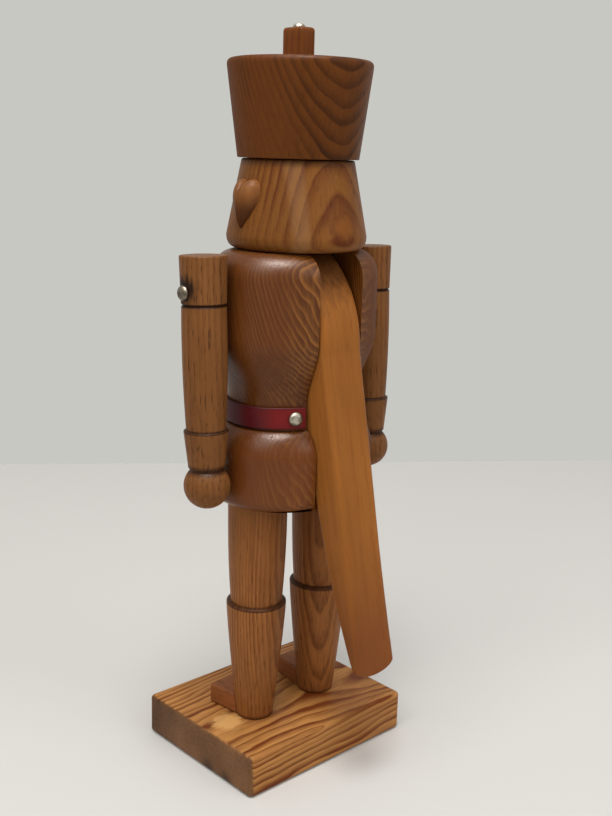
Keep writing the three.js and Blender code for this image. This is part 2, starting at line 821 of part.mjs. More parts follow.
const pegLow = hatHigh - pegSunk;
const pegHigh = hatHigh + pegHeight;
const mortise = block(
  pegWidth + 2 * holeFit,
  pegDepth + 2 * holeFit,
  pegLow - glueLine,
  hatHigh + hatTopEdge,
).translate(0, -pegForward, 0);
body.add(part("hat", cut(turned(hatProfile(), bodySides), hatHole(), mortise), finish.hat));
const hatDowel = dowel(hatDowelRadius, hatDowelLength).translate(0, 0, hatDowelUp);
body.add(part("hat_dowel", hatDowel, finish.dowel));

const pegNailPlace = new THREE.Vector3(0, -pegForward, pegHigh + glueLine);
const pegHole = aim(nailHole(nailRadius, nailLength), up, pegNailPlace);
const pegBlock = easedBlock(pegWidth, pegDepth, pegHigh - pegLow, pegEdge);
pegBlock.translate(0, -pegForward, pegLow);
body.add(part("hat_peg", cut(pegBlock, pegHole), finish.red));
const pegNail = aim(nail(pegNailHeadRadius, nailRadius, nailLength), up, pegNailPlace);
body.add(part("peg_nail", pegNail, finish.nail));

export default soldier;
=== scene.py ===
"""Looks of a wooden nutcracker soldier: smooth turned and sawn surfaces in varnished wood, leather and metal.

Shapes are worked out in millimetres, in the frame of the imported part, and put into the meshes in metres.
"""

import bpy
import numpy as np
from mathutils import Matrix, Vector


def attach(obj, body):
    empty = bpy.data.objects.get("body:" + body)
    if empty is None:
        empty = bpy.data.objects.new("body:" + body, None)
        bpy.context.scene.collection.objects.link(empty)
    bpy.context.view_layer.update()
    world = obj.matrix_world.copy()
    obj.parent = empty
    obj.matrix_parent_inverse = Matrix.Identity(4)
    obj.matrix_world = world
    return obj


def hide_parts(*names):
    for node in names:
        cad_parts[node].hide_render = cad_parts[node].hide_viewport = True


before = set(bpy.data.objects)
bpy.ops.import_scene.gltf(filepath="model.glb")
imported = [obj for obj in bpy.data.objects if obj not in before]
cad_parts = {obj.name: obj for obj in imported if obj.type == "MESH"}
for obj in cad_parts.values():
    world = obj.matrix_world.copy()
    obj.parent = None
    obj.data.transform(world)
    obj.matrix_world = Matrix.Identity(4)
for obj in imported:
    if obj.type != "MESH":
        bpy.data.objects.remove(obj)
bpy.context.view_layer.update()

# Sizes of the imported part, in millimetres. Heights on the torso, belt and lever count from hips_z, and
# those on the legs from leg_bottom.

METRE = 0.001
TO_MM = (1000, 1000, 1000)
BOTH_SIDES = (("left", 1), ("right", -1))
body_back = 7.0
body_axis = np.array([0, body_back, 0])

base_half_x, base_half_y, base_high = 50, 40, 20
base_edge, base_corner = 1.9, 2.2
screw_head, screw_way = 4.3, 2.3

leg_bottom, leg_spread, leg_high = 20.3, 20.4, 110.2
boot_foot, boot_top, thigh_low, thigh_top = 9.0, 14.3, 12.3, 14.0
collar_high = 59.7
toe_half_x, toe_half_y, toe_high, toe_turn = 8, 11.5, 9.5, 7

hips_z = 130.8
oval = 2.3
hem, hips_high, hips_over = 4.5, 24.5, 12.5
waist_high, chest_low = 48.5, 77.5
shoulder_low, shoulder_high, shoulder_in = 103.7, 12, 10
torso_half_x, torso_half_y = (40.2, 32.2, 40.4), (32.2, 25.2, 31.7)
slot_half, slot_sill = 13.0, 63.1
throat_back, throat_up, tail_front, tail_front_up = 9.5, 68.7, 36.8, -22.0
slot_lean, slot_room = 0.301, 0.4

belt_x, belt_y = 33.3, 26.3
belt_up, belt_half, belt_thick = 42.75, 5.0, 0.8

head_low = hips_z + 116.0
head_tall, head_wide, head_narrow, head_round, head_rim = 39.5, 32.0, 25.4, 6, 0.8
head_high = head_low + head_tall
head_slope = (head_wide - head_narrow) / (head_tall - head_round - head_rim)
hat_low = head_high + 0.3
hat_high = hat_low + 42.3
hat_narrow, hat_wide = 27.4, 32.8
peg_half_x, peg_half_y, peg_up, peg_deep = 4.2, 6.2, 13.7, 12
peg_axis = np.array([0, body_back - 1.5, 0])

arm_x, arm_y, nail_y = 51.4, body_back - 2, body_back - 3
arm_top = hips_z + 114.8
nail_drop, groove_drop, cap_drop = 15.7, 21.3, 21.8
nail_up = arm_top - nail_drop
sleeve = {"left": 55.0, "right": 53.7}
cuff_long, cuff_wide, hand = 17.2, 10.1, 10.5
arm_swing = np.radians(2)

lever_half, lever_ease = 12.0, 3.4
tail_end, tail_back = -73.0, 61.5
nape_back, nape_up = 33.5, 72.0
jaw_top, jaw_low, jaw_front = 114.4, 87.4, -33


# Surfaces

def smooth_share(share):
    """Ease from 0 to 1: half of one minus the cosine of half a turn."""
    return (1 - np.cos(np.pi * share)) / 2


def fillet(corners, steps=6):
    """A profile through corners (radius, height, rounding): each corner is cut back by its rounding on both
    sides and bridged by a parabola whose middle control point is the corner itself."""
    points = np.array([c[:2] for c in corners], float)
    rounding = np.array([c[2] for c in corners], float)
    share = np.linspace(0, 1, steps)[:, None]
    runs = [points[:1]]
    for before, here, after, cut in zip(points, points[1:], points[2:], rounding[1:]):
        if cut == 0:
            runs.append(here[None])
            continue
        start = here + (before - here) * cut / np.linalg.norm(before - here)
        end = here + (after - here) * cut / np.linalg.norm(after - here)
        runs.append((1 - share) ** 2 * start + 2 * share * (1 - share) * here + share**2 * end)
    runs.append(points[-1:])
    return np.concatenate(runs)


def dense(line, step):
    """The same line with points added by linear steps, so that no two lie further apart than the step."""
    gaps = np.linalg.norm(np.diff(line, axis=0), axis=1)
    counts = np.maximum(1, np.ceil(gaps / step)).astype(int)
    start = np.repeat(np.arange(len(gaps)), counts)
    within = np.arange(counts.sum()) - np.repeat(np.cumsum(counts) - counts, counts)
    share = within / np.repeat(counts, counts)
    inner = line[start] + (line[start + 1] - line[start]) * share[:, None]
    return np.concatenate([inner, line[-1:]])


def bow(start, pull, end, count=12):
    """Points of a parabola from start to end that leans towards pull, both ends left out."""
    share = np.linspace(0, 1, count + 2)[1:-1, None]
    start, pull, end = (np.array(p, float) for p in (start, pull, end))
    return (1 - share) ** 2 * start + 2 * share * (1 - share) * pull + share**2 * end


def grid_faces(rows, columns, wrap=False):
    """Four-cornered faces of a grid whose points are listed row by row, facing along column x row step."""
    across = columns if wrap else columns - 1
    row, column = np.meshgrid(np.arange(rows - 1) * columns, np.arange(across), indexing="ij")
    after = (column + 1) % columns
    corners = (row + column, row + after, row + columns + after, row + columns + column)
    return np.stack([c.ravel() for c in corners], 1)


def turned(profile, place=(0, 0, 0), sides=128):
    """A turned piece: the radius and height of a profile carried round the Z axis.
    The profile starts and ends on the axis, and its two ends are single points."""
    radius, height = profile[1:-1].T
    angle = np.arange(sides) * 2 * np.pi / sides
    ring = np.stack([np.cos(angle), np.sin(angle), np.zeros(sides)], 1)
    grid = radius[:, None, None] * ring + height[:, None, None] * np.array([0, 0, 1])
    ends = np.array([[0, 0, profile[0, 1]], [0, 0, profile[-1, 1]]])
    low, high, last = grid.size // 3, grid.size // 3 + 1, (len(radius) - 1) * sides
    here, after = np.arange(sides), (np.arange(sides) + 1) % sides
    foot = np.stack([np.full(sides, low), after, here], 1)
    top = np.stack([last + here, last + after, np.full(sides, high)], 1)
    points = np.concatenate([grid.reshape(-1, 3), ends]) + np.array(place)
    return points, [*grid_faces(len(radius), sides, wrap=True).tolist(), *foot.tolist(), *top.tolist()]


def weld(patches):
    """One closed surface from grids of points (rows, columns, 3): points that fall together become one,
    and faces that close up at a point keep their remaining corners."""
    points = np.concatenate([p.reshape(-1, 3) for p in patches])
    starts = np.cumsum([0] + [p.shape[0] * p.shape[1] for p in patches[:-1]])
    faces = np.concatenate([grid_faces(*p.shape[:2]) + s for p, s in zip(patches, starts)])
    keys = np.round(points * 2000).astype(np.int64)
    _, first, same = np.unique(keys, axis=0, return_index=True, return_inverse=True)
    faces = same.reshape(-1)[faces]
    kept = faces != np.roll(faces, 1, axis=1)
    whole = kept.all(1)
    closed = [f[k].tolist() for f, k in zip(faces[~whole], kept[~whole]) if len(set(f.tolist())) > 2]
    return points[first], faces[whole].tolist() + closed


def rounded_rectangle(half_x, half_y, corner, steps=6):
    """The outline of a rectangle whose corners are quarter circles, anticlockwise."""
    angle = np.linspace(0, np.pi / 2, steps)
    quarter = np.stack([np.cos(angle), np.sin(angle)], 1) * corner
    inner = np.array([half_x - corner, half_y - corner])
    turns = [np.array([[c, s], [-s, c]]) for c, s in ((1, 0), (0, 1), (-1, 0), (0, -1))]
    signs = np.array([[1, 1], [-1, 1], [-1, -1], [1, -1]])
    return np.concatenate([quarter @ t + inner * s for t, s in zip(turns, signs)])


def slab(half_x, half_y, low, high, edge, corner):
    """A block with eased edges: rounded rectangles stacked up, each drawn in by the edge's quarter circle."""
    angle = np.linspace(0, np.pi / 2, 6)
    inset = edge * (1 - np.sin(angle))
    rise = edge * (1 - np.cos(angle))
    height = np.concatenate([low + rise, np.linspace(low + edge, high - edge, 8)[1:-1], high - rise[::-1]])
    drawn_in = np.concatenate([inset, np.zeros(6), inset[::-1]])
    outlines = [rounded_rectangle(half_x - d, half_y - d, max(corner - d, 0.2)) for d in drawn_in]
    rings = [np.column_stack([line, np.full(len(line), z)]) for line, z in zip(outlines, height)]
    count, last = len(rings[0]), (len(rings) - 1) * len(rings[0])
    faces = grid_faces(len(rings), count, wrap=True).tolist()
    return np.concatenate(rings), [*faces, list(range(count))[::-1], list(range(last, last + count))]


def aimed(shape, direction, place):
    """A shape made along +Z, turned to a direction by the shortest way and set at a place."""
    points, faces = shape
    turn = np.array(Vector((0, 0, 1)).rotation_difference(Vector(direction)).to_matrix())
    return points @ turn.T + np.array(place), faces


def put(name, shape, material, nodes, body="figure", sharp=40, bevel=0):
    """Makes the piece, in place and in metres, and lets it stand for its CAD nodes on its body."""
    points, faces = shape
    mesh = bpy.data.meshes.new(name)
    mesh.from_pydata((points * METRE).tolist(), [], faces)
    mesh.polygons.foreach_set("use_smooth", np.ones(len(mesh.polygons), bool))
    mesh.set_sharp_from_angle(angle=np.radians(sharp))
    mesh.materials.append(material)
    piece = bpy.data.objects.new(name, mesh)
    bpy.context.scene.collection.objects.link(piece)
    if bevel:
        eased = piece.modifiers.new("eased edges", "BEVEL")
        eased.width, eased.segments, eased.angle_limit = bevel * METRE, 3, np.radians(38)
    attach(piece, body)
    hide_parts(*nodes)
    return piece


def carve(shape, *tools):
    """A shape less the tools' shapes, as points and faces."""
    pieces = []
    for points, faces in (shape, *tools):
        mesh = bpy.data.meshes.new("blank")
        mesh.from_pydata((points * METRE).tolist(), [], faces)
        pieces.append(bpy.data.objects.new("blank", mesh))
        bpy.context.scene.collection.objects.link(pieces[-1])
    for tool in pieces[1:]:
        cut = pieces[0].modifiers.new("cut", "BOOLEAN")
        cut.operation, cut.solver, cut.object = "DIFFERENCE", "EXACT", tool
    left = pieces[0].evaluated_get(bpy.context.evaluated_depsgraph_get()).to_mesh()
    points = np.zeros(len(left.vertices) * 3)
    left.vertices.foreach_get("co", points)
    faces = [list(p.vertices) for p in left.polygons]
    for piece in pieces:
        bpy.data.objects.remove(piece)
    return points.reshape(-1, 3) / METRE, faces


# Materials

class Finish:
    """A material's nodes, with short ways to add and join them."""

    def __init__(self, name, sockets):
        self.material = bpy.data.materials.new(name)
        self.material.use_nodes = True
        self.tree = self.material.node_tree
        self.shader = self.tree.nodes["Principled BSDF"]
        for socket, value in sockets.items():
            self.shader.inputs[socket].default_value = value
        self.point = self.node("ShaderNodeTexCoord").outputs["Object"]

    def node(self, kind, inputs=(), **settings):
        made = self.tree.nodes.new(kind)
        for key, value in settings.items():
            setattr(made, key, value)
        for socket, value in dict(inputs).items():
            if isinstance(value, bpy.types.NodeSocket):
                self.tree.links.new(value, made.inputs[socket])
            else:
                made.inputs[socket].default_value = value
        return made

    def math(self, operation, *values):
        return self.node("ShaderNodeMath", dict(enumerate(values)), operation=operation).outputs[0]

    def vector(self, operation, *values, out=0):
        return self.node("ShaderNodeVectorMath", dict(enumerate(values)), operation=operation).outputs[out]

    def split(self, vector):
        return self.node("ShaderNodeSeparateXYZ", {0: vector}).outputs

    def join(self, x, y, z):
        return self.node("ShaderNodeCombineXYZ", {0: x, 1: y, 2: z}).outputs[0]

    def noise(self, vector, scale=1.0, detail=2.0, rough=0.5):
        inputs = {"Vector": vector, "Scale": scale, "Detail": detail, "Roughness": rough}
        return self.node("ShaderNodeTexNoise", inputs).outputs

    def span(self, value, low, high, start=0.0, end=1.0):
        inputs = {"Value": value, 1: low, 2: high, 3: start, 4: end}
        return self.node("ShaderNodeMapRange", inputs, interpolation_type="SMOOTHSTEP").outputs[0]

    def mix(self, share, a, b, blend="MIX"):
        inputs = {0: share, 6: a, 7: b}
        return self.node("ShaderNodeMix", inputs, data_type="RGBA", blend_type=blend).outputs[2]

    def ramp(self, value, *stops):
        made = self.node("ShaderNodeValToRGB", {0: value})
        band = made.color_ramp
        for _ in stops[2:]:
            band.elements.new(0.5)
        for element, stop in zip(band.elements, sorted(stops)):
            element.position, element.color = stop
        return made.outputs[0]

    def bump(self, height, strength, distance):
        inputs = {"Height": height, "Strength": strength, "Distance": distance}
        self.link(self.node("ShaderNodeBump", inputs).outputs[0], "Normal")

    def link(self, value, socket):
        self.tree.links.new(value, self.shader.inputs[socket])


def colour(code):
    """A colour written as six hexadecimal digits, turned from display values to linear light."""
    shown = np.array([int(code[i:i + 2], 16) for i in (0, 2, 4)]) / 255
    linear = np.where(shown <= 0.04045, shown / 12.92, ((shown + 0.055) / 1.055) ** 2.4)
    return (*linear.tolist(), 1.0)


def unit(*values):
    values = np.array(values, float)
    return values / np.linalg.norm(values)


# Noise sizes per millimetre (facing, across and along the grain) and fixed tones of the woods
bend_scale = (0.03, 0.03, 0.013)
patch_scale = (0.05, 0.05, 0.02)
fibre_scale = (0.55, 0.55, 0.012)
pore_across = 1.6
blotch_scale = (0.035, 0.035, 0.018)
mottle_scale = (0.5, 0.5, 0.16)
pore_tone, burnt_and_shade_tone, end_tone = "2e180a", "26120a", "4b3322"


def grey(value):
    return (value, value, value, 1)


def wood(name, centre, facing, grain=(0, 0, 1), ring=2.0, pith=60.0, wander=3.0, ground="8a5a31",
         lines="5a2f14", line=0.75, width=1.0, patchy=0.5, pores=0.5, pore_length=10.0, streak=0.3,
         burnt_and_shade_bands=(), strips=(), stains_and_shade=(), tip=None, ends=None, rough=0.42, shine=0.1):
    """Varnished wood as a solid. Seen along the grain, growth rings are circles about a pith line that lies
    behind the centre, against the way the board faces. The distance from that line, bent by a slow noise and
    divided by the ring width, gives the rings; its whole part gives each ring its own strength, and they fade
    in patches. Pores and streaks are noises drawn out along the grain. Dark bands, which are burnt grooves
    and painted shade, darken between distances along the grain from the centre. Strips run along it at a
    distance across, and the varnish is dull on the last one; some strips are painted shade or a painted
    highlight.
    Stains and painted shadows fade out round a point, the tip fades to its own tone along the grain, and end
    grain is dull."""
    finish = Finish(name, {"Specular IOR Level": shine})
    upright = unit(*grain)
    across = unit(*np.cross(upright, unit(*facing)))
    normal = unit(*np.cross(across, upright))
    place = finish.vector("SUBTRACT", finish.point, (np.array(centre) * METRE).tolist())
    place = finish.vector("MULTIPLY", place, TO_MM)
    along = [finish.vector("DOT_PRODUCT", place, axis.tolist(), out=1) for axis in (normal, across, upright)]
    local = finish.join(*along)

    def noise(scale, detail, coarse=0.5):
        return finish.noise(finish.vector("MULTIPLY", local, scale), 1.0, detail, coarse)

    slow = finish.vector("SUBTRACT", noise(bend_scale, 3.0)["Color"], (0.5, 0.5, 0.5))
    bend = finish.vector("MULTIPLY", slow, (wander * 2,) * 3)
    bent = finish.split(finish.vector("ADD", local, bend))
    from_pith = finish.join(finish.math("ADD", bent[0], pith), bent[1], 0.0)
    count = finish.math("DIVIDE", finish.vector("LENGTH", from_pith, out=1), ring)
    whole = {"W": finish.math("FLOOR", count)}
    own = finish.node("ShaderNodeTexWhiteNoise", whole, noise_dimensions="1D").outputs[0]
    ring_line = finish.ramp(finish.math("FRACT", count), (0.0, grey(1)), (0.16 * width, grey(0.8)),
                            (0.5 * width, grey(0.18)), (1 - 0.14 * width, grey(0)), (1.0, grey(0.9)))
    patch = finish.span(noise(patch_scale, 2.0)[0], 0.36, 0.62, 1 - patchy, 1.0)
    strength = finish.math("MULTIPLY", finish.math("MULTIPLY_ADD", own, 0.6 * line, 0.4 * line), patch)
    ring_share = finish.math("MULTIPLY", ring_line, strength)

    fibre = noise(fibre_scale, 4.0, 0.6)[0]
    pore = finish.span(noise((pore_across, pore_across, 1 / pore_length), 3.0, 0.55)[0], 0.53, 0.68)
    pore = finish.math("MULTIPLY", pore, finish.math("MULTIPLY_ADD", ring_line, 0.6, 0.4))
    blotch = noise(blotch_scale, 2.0)[0]
    mottle = noise(mottle_scale, 3.0)[0]
    uneven = finish.math("SUBTRACT", mottle, 0.5)

    tone = colour(ground)
    if tip:
        low, high, depth, shade = tip
        tone = finish.mix(finish.span(along[2], low, high, depth, 0.0), tone, colour(shade))
    tone = finish.mix(ring_share, tone, colour(lines))
    tone = finish.mix(finish.math("MULTIPLY", finish.span(fibre, 0.4, 0.75), streak), tone, colour(lines))
    tone = finish.mix(finish.math("MULTIPLY", pore, pores), tone, colour(pore_tone))
    light = finish.math("MULTIPLY_ADD", blotch, 0.56, 0.72)
    tone = finish.mix(1.0, tone, finish.join(light, light, light), blend="MULTIPLY")
    for across_at, half, depth, shade in strips:
        away = finish.math("ABSOLUTE", finish.math("SUBTRACT", bent[1], across_at))
        strip = finish.span(away, 0.3 * half, half, depth, 0.0)
        tone = finish.mix(strip, tone, colour(shade))
    if ends:
        start, full, shade = ends
        cut_end = finish.math("MULTIPLY_ADD", uneven, 0.9, finish.math("ABSOLUTE", along[2]))
        dull = finish.mix(finish.math("MULTIPLY_ADD", mottle, 0.4, blotch), colour(shade), colour(end_tone))
        tone = finish.mix(finish.span(cut_end, start, full, 0.0, 0.97), tone, dull)
    for low, high, fade, depth in burnt_and_shade_bands:
        rising = finish.span(along[2], low - fade, low)
        falling = finish.span(along[2], high, high + fade, 1.0, 0.0)
        band = finish.math("MULTIPLY", rising, falling)
        band = finish.math("MULTIPLY", band, finish.math("MULTIPLY_ADD", mottle, 0.6 * depth, 0.7 * depth))
        tone = finish.mix(band, tone, colour(burnt_and_shade_tone))
    for spot, inner, outer, depth, shade in stains_and_shade:
        away = finish.vector("DISTANCE", finish.point, (np.array(spot) * METRE).tolist(), out=1)
        away = finish.math("MULTIPLY_ADD", uneven, outer * METRE, away)
        share = finish.span(away, inner * METRE, outer * METRE, depth, 0.0)
        tone = finish.mix(share, tone, colour(shade))
    finish.link(tone, "Base Color")

    worn = finish.math("MULTIPLY_ADD", finish.math("SUBTRACT", blotch, 0.5), 0.3, rough)
    if strips:
        worn = finish.math("MULTIPLY_ADD", strip, 0.4, worn)
    finish.link(finish.math("MULTIPLY_ADD", pore, 0.25, worn), "Roughness")
    relief = finish.math("MULTIPLY_ADD", pore, -0.8, finish.math("MULTIPLY", ring_share, -0.35))
    finish.bump(finish.math("MULTIPLY_ADD", fibre, 0.3, relief), 0.3, 0.0002)
    return finish.material


def leather(name, middle, half):
    """Dyed leather: fine pebbles from a cell noise, a darker tone towards both edges, painted shade round the
    left side next to the near arm, and slow blotches."""
    finish = Finish(name, {"Specular IOR Level": 0.2})
    spot = finish.vector("MULTIPLY", finish.point, TO_MM)
    cells = {"Vector": spot, "Scale": 1.6}
    pebble = finish.node("ShaderNodeTexVoronoi", cells, feature="SMOOTH_F1").outputs[0]
    slow = finish.noise(finish.vector("MULTIPLY", spot, (0.12, 0.12, 0.2)), 1.0, 3.0)[0]
    up = finish.math("ABSOLUTE", finish.math("SUBTRACT", finish.split(spot)[2], middle))
    edge = finish.span(up, half - 1.4, half, 0.0, 0.6)
    # Painted shade: the belt darkens round the soldier's left side, where the near arm shades it.
    side = finish.span(finish.split(spot)[0], 26.0, 33.0, 0.0, 0.6)
    tone = finish.mix(slow, colour("60090a"), colour("761413"))
    tone = finish.mix(edge, tone, colour("2f0508"))
    tone = finish.mix(side, tone, colour("381018"))
    finish.link(tone, "Base Color")
    finish.link(finish.math("MULTIPLY_ADD", slow, 0.3, 0.3), "Roughness")
    finish.bump(pebble, 0.3, 0.0002)
    return finish.material


def metal(name, bright, dull, rough):
    """Aged metal: a slow noise mixes bright and tarnished tones, and a fine one scratches the surface."""
    finish = Finish(name, {"Metallic": 1.0})
    spot = finish.vector("MULTIPLY", finish.point, TO_MM)
    slow = finish.noise(spot, 0.45, 4.0, 0.6)[0]
    fine = finish.noise(spot, 6.0, 3.0)[0]
    finish.link(finish.mix(finish.span(slow, 0.35, 0.7), colour(bright), colour(dull)), "Base Color")
    finish.link(finish.math("MULTIPLY_ADD", slow, 0.3, rough - 0.12), "Roughness")
    finish.bump(fine, 0.12, 0.0001)
    return finish.material


def plain(name, code):
    """A floor with a very faint unevenness in its tone."""
    finish = Finish(name, {"Roughness": 0.75, "Specular IOR Level": 0.2})
    slow = finish.noise(finish.point, 2.0, 2.0)[0]
    light = finish.math("MULTIPLY_ADD", slow, 0.04, 0.98)
    tone = finish.mix(1.0, colour(code), finish.join(light, light, light), blend="MULTIPLY")
    finish.link(tone, "Base Color")
    return finish.material


def axis_at(z):
    return (0, body_back, z)


toward_back = (0, 1, 0)
image_right = (-0.73, 0.683, 0)

# Painted shade: the first strip gives the soldier's left side, in the near arm's shade, a plain tone of its
# own. The second strip warms the right lobe and dulls its varnish.
torso_wood = wood("torso wood", axis_at(190), (-0.2, 1, 0.2), grain=(0.04, -0.2, 0.98), ring=1.25, pith=80,
                  wander=4.5, ground="50280a", lines="925d28", line=1.0, width=0.8, patchy=0.65, pores=0.35,
                  strips=((-38, 13, 0.65, "5d3010"), (30, 28, 0.9, "5c2d02")),
                  tip=(-40, -20, 0.8, "6f3811"), rough=0.31, shine=0.23)
head_figure = (0, body_back + 31, head_low + 11)
# Painted light on the head: the pale strip at -19 across is a painted highlight down the cone, and the dark
# band at its top is painted shadow under the hat's brim. The spots at head_figure are the grain's figure.
head_wood = wood("head wood", axis_at(265), toward_back, ring=2.9, pith=70, wander=2.6, ground="7d4e20",
                 lines="5a2b0f", line=1.4, patchy=0.65, pores=0.45, strips=((-19, 4.5, 0.2, "a8845e"),),
                 burnt_and_shade_bands=((20.8, 23, 3.5, 0.5),),
                 stains_and_shade=((head_figure, 6.0, 9.0, 0.6, "5c2c10"), (head_figure, 2.5, 7.5, 0.6, "85501f")))
# Painted shade: the tip tone darkens each ear's lower part towards its point, which faces down, away from the
# light.
ear_wood = wood("ear wood", axis_at(head_low + 20), toward_back, ring=2.4, pith=70, ground="86552c",
                line=0.5, pores=0.3, tip=(-4, 6, 0.8, "42200d"))
hat_wood = wood("hat wood", axis_at(305), (0, 0.98, 0.19), grain=(0, -0.19, 0.98), ring=2.4, pith=80,
                wander=2.2, ground="62350f", lines="351905", line=1.1, patchy=0.7, pores=0.45,
                strips=((-29, 11, 0.35, "6b3a14"),))
# The first two marks are knots. The third, a wide dark patch over the lever's top where it goes in under the
# head, is painted shadow.
lever_knots_and_shade = (((-3.6, 43.5, 204.0), 0.4, 2.2, 0.75, "5a2c14"), ((6.0, 45.0, 196.0), 0.3, 2.6, 0.5, "66331a"),
               ((0, 24.0, 249.0), 6.0, 34.0, 0.85, "56331a"))
lever_wood = wood("lever wood", (0, 40, 180), (0.75, 0.66, 0.1), grain=(0.02, -0.2, 0.98), ring=4.6, pith=120,
                  wander=5, ground="945b26", lines="7d471c", line=0.25, pores=0.2, streak=0.35,
                  tip=(-115, -55, 0.7, "6e391c"), stains_and_shade=lever_knots_and_shade)
peg_wood = wood("peg wood", axis_at(336), (0.6, 0.8, 0), ring=2.6, pith=50, ground="784116", lines="48240c",
                line=0.5, pores=0.4)
foot_wood = wood("foot wood", (20, -10, 25), (0.2, 0.1, 1), grain=(0, 1, 0), ring=2.4, pith=40,
                 ground="90562f", lines="603820", line=0.5)
base_marks = (((37, 6, 20), 5.0, 9.5, 0.8, "d2a163"), ((-24, 32, 20), 8.0, 34.0, 0.3, "84481f"),
              ((50, 8, 1.5), 1.0, 6.5, 0.75, "372b20"), ((50, 21.5, 1.0), 1.0, 6.0, 0.75, "372b20"))
base_wood = wood("base wood", (0, 12, 20), (0, 0.04, 1), grain=(1, 0, -0.05), ring=2.4, pith=38, wander=5.0,
                 ground="bc8549", lines="6c3312", line=1.5, width=1.15, patchy=0.35, pores=0.4, streak=0.4,
                 rough=0.45, ends=(48.3, 49.7, "9c6e49"), stains_and_shade=base_marks)
dowel_wood = wood("dowel wood", (0, 0, 0), (1, 0, 0), ground="d3b283", lines="b58f5c", line=0.4, pores=0.2)

leg_middle = 70
collar_at, foot_at = leg_bottom + 59.5 - leg_middle, leg_bottom - leg_middle
burnt_leg = ((collar_at - 0.9, collar_at + 0.3, 0.6, 0.75), (foot_at - 1, foot_at + 0.4, 1.6, 0.6))
leg_figure = {"left": 0.85, "right": 1.0}
groove_at = nail_drop - groove_drop
arm_up = (0, -np.sin(arm_swing), np.cos(arm_swing))
arm_wood = {}
leg_wood = {}
for side, sign in BOTH_SIDES:
    cuff_at = nail_drop - cap_drop - sleeve[side]
    burnt_arm = ((groove_at - 0.5, groove_at + 0.5, 0.7, 0.9), (cuff_at - 0.3, cuff_at + 0.3, 0.8, 0.8),
                 (cuff_at - 18.2, cuff_at - 17.0, 2.4, 0.75))
    nail_mark = ((sign * (arm_x + 9.5), nail_y, nail_up + 1), 3.7, 9.0, 0.95, "22140b")
    arm_wood[side] = wood(f"{side} arm wood", (sign * arm_x, nail_y, nail_up), image_right, grain=arm_up,
                          ring=2.3, pith=90, wander=1.6, ground="7d5029", lines="58311a", line=0.65,
                          pores=0.8, pore_length=7, burnt_and_shade_bands=burnt_arm, stains_and_shade=(nail_mark,))
    leg_wood[side] = wood(f"{side} leg wood", (sign * leg_spread, body_back, leg_middle),
                          (-0.5 * sign, 0.8, 0.02), ring=1.7, pith=80, ground="935d30", lines="572b11",
                          line=leg_figure[side], patchy=0.6, pores=leg_figure[side] * 0.65, burnt_and_shade_bands=burnt_leg)
belt_leather = leather("belt leather", hips_z + belt_up, belt_half)
nail_metal = metal("nail metal", "b9b2a2", "6e665a", 0.36)
arm_nail_metal = metal("arm nail metal", "877d70", "4a4238", 0.4)
steel = metal("screw steel", "b4b7bb", "6f7276", 0.38)


# Legs, feet and base

def base_shape():
    """The block, less the two sunk screw holes: a short cylinder, a cone and the shank's way through."""
    block = slab(base_half_x, base_half_y, 0, base_high, base_edge, base_corner)
    hole = fillet([(0, -3, 0), (screw_head, -3, 0), (screw_head, 0.8, 0), (screw_way, 3.8, 0),
                   (screw_way, 30, 0), (0, 30, 0)])
    return carve(block, *(turned(hole, (s * leg_spread, body_back, 0), 48) for s in (1, -1)))


def leg_profile(extra=0.0):
    """Boot and thigh: two parabolas with the collar's burnt bead between them."""
    foot = [[0, 0], [boot_foot - 0.5, 0], [boot_foot - 0.1, 0.3]]
    calf = bow((boot_foot, 0), (14.05, 47.6), (boot_top, 58.0), 20)
    collar = fillet([(boot_top, 57.6, 0), (boot_top + 0.1, collar_high, 1.3), (thigh_low, collar_high, 0.3),
                     (thigh_low, collar_high + 0.7, 0)])
    thigh = bow((thigh_low, collar_high), (14.1, 79.8), (thigh_top, leg_high), 20)
    top = [[thigh_top, leg_high - 0.3], [thigh_top - 0.3, leg_high], [0, leg_high]]
    line = np.concatenate([foot, calf, collar, thigh, top])
    return dense(line + np.array([extra, 0]) * (line[:, :1] > 0), 3.0)


put("base_block", base_shape(), base_wood, ["base_plinth"])
for side, sign in BOTH_SIDES:
    leg_place = np.array([sign * leg_spread, body_back, leg_bottom])
    leg = turned(leg_profile(), leg_place, 96)
    put(f"{side}_turned_leg", leg, leg_wood[side], [f"{side}_leg"])
    points, faces = slab(toe_half_x, toe_half_y, 0, toe_high, 0.8, 1.0)
    c, s = np.cos(np.radians(toe_turn * sign)), np.sin(np.radians(toe_turn * sign))
    toes = (points - [0, toe_half_y, 0]) @ np.array([[c, s, 0], [-s, c, 0], [0, 0, 1]]) + leg_place
    coped = carve((toes, faces), turned(leg_profile(0.1), leg_place - [0, 0, 0.5], 96))
    put(f"{side}_toe_block", coped, foot_wood, [f"{side}_foot"], sharp=30)


# Torso

def layer(x, y, z):
    """A grid of points from three arrays that are stretched to one shape."""
    return np.stack(np.broadcast_arrays(x, y, z), -1)


def torso_half(height, hip, waist, chest):
    """Half width or depth at a height: rounded lower edge, hips, a round-over to the waist, a cosine ease to
    the chest, and a quarter ellipse over the shoulders."""
    low = np.clip(1 - height / hem, 0, 1)
    over = np.clip((height - hips_high) / hips_over, 0, 1)
    rise = np.clip((height - waist_high) / (chest_low - waist_high), 0, 1)
    top = np.clip((height - shoulder_low) / shoulder_high, 0, 1)
    hips = hip - hem * (1 - np.sqrt(1 - low**2))
    half = np.where(height < hips_high, hips, waist + (hip - waist) * (1 - over**1.5) ** (1 / 1.5))
    half = np.where(height > waist_high, waist + (chest - waist) * smooth_share(rise), half)
    return half - shoulder_in * (1 - np.sqrt(1 - top**2))


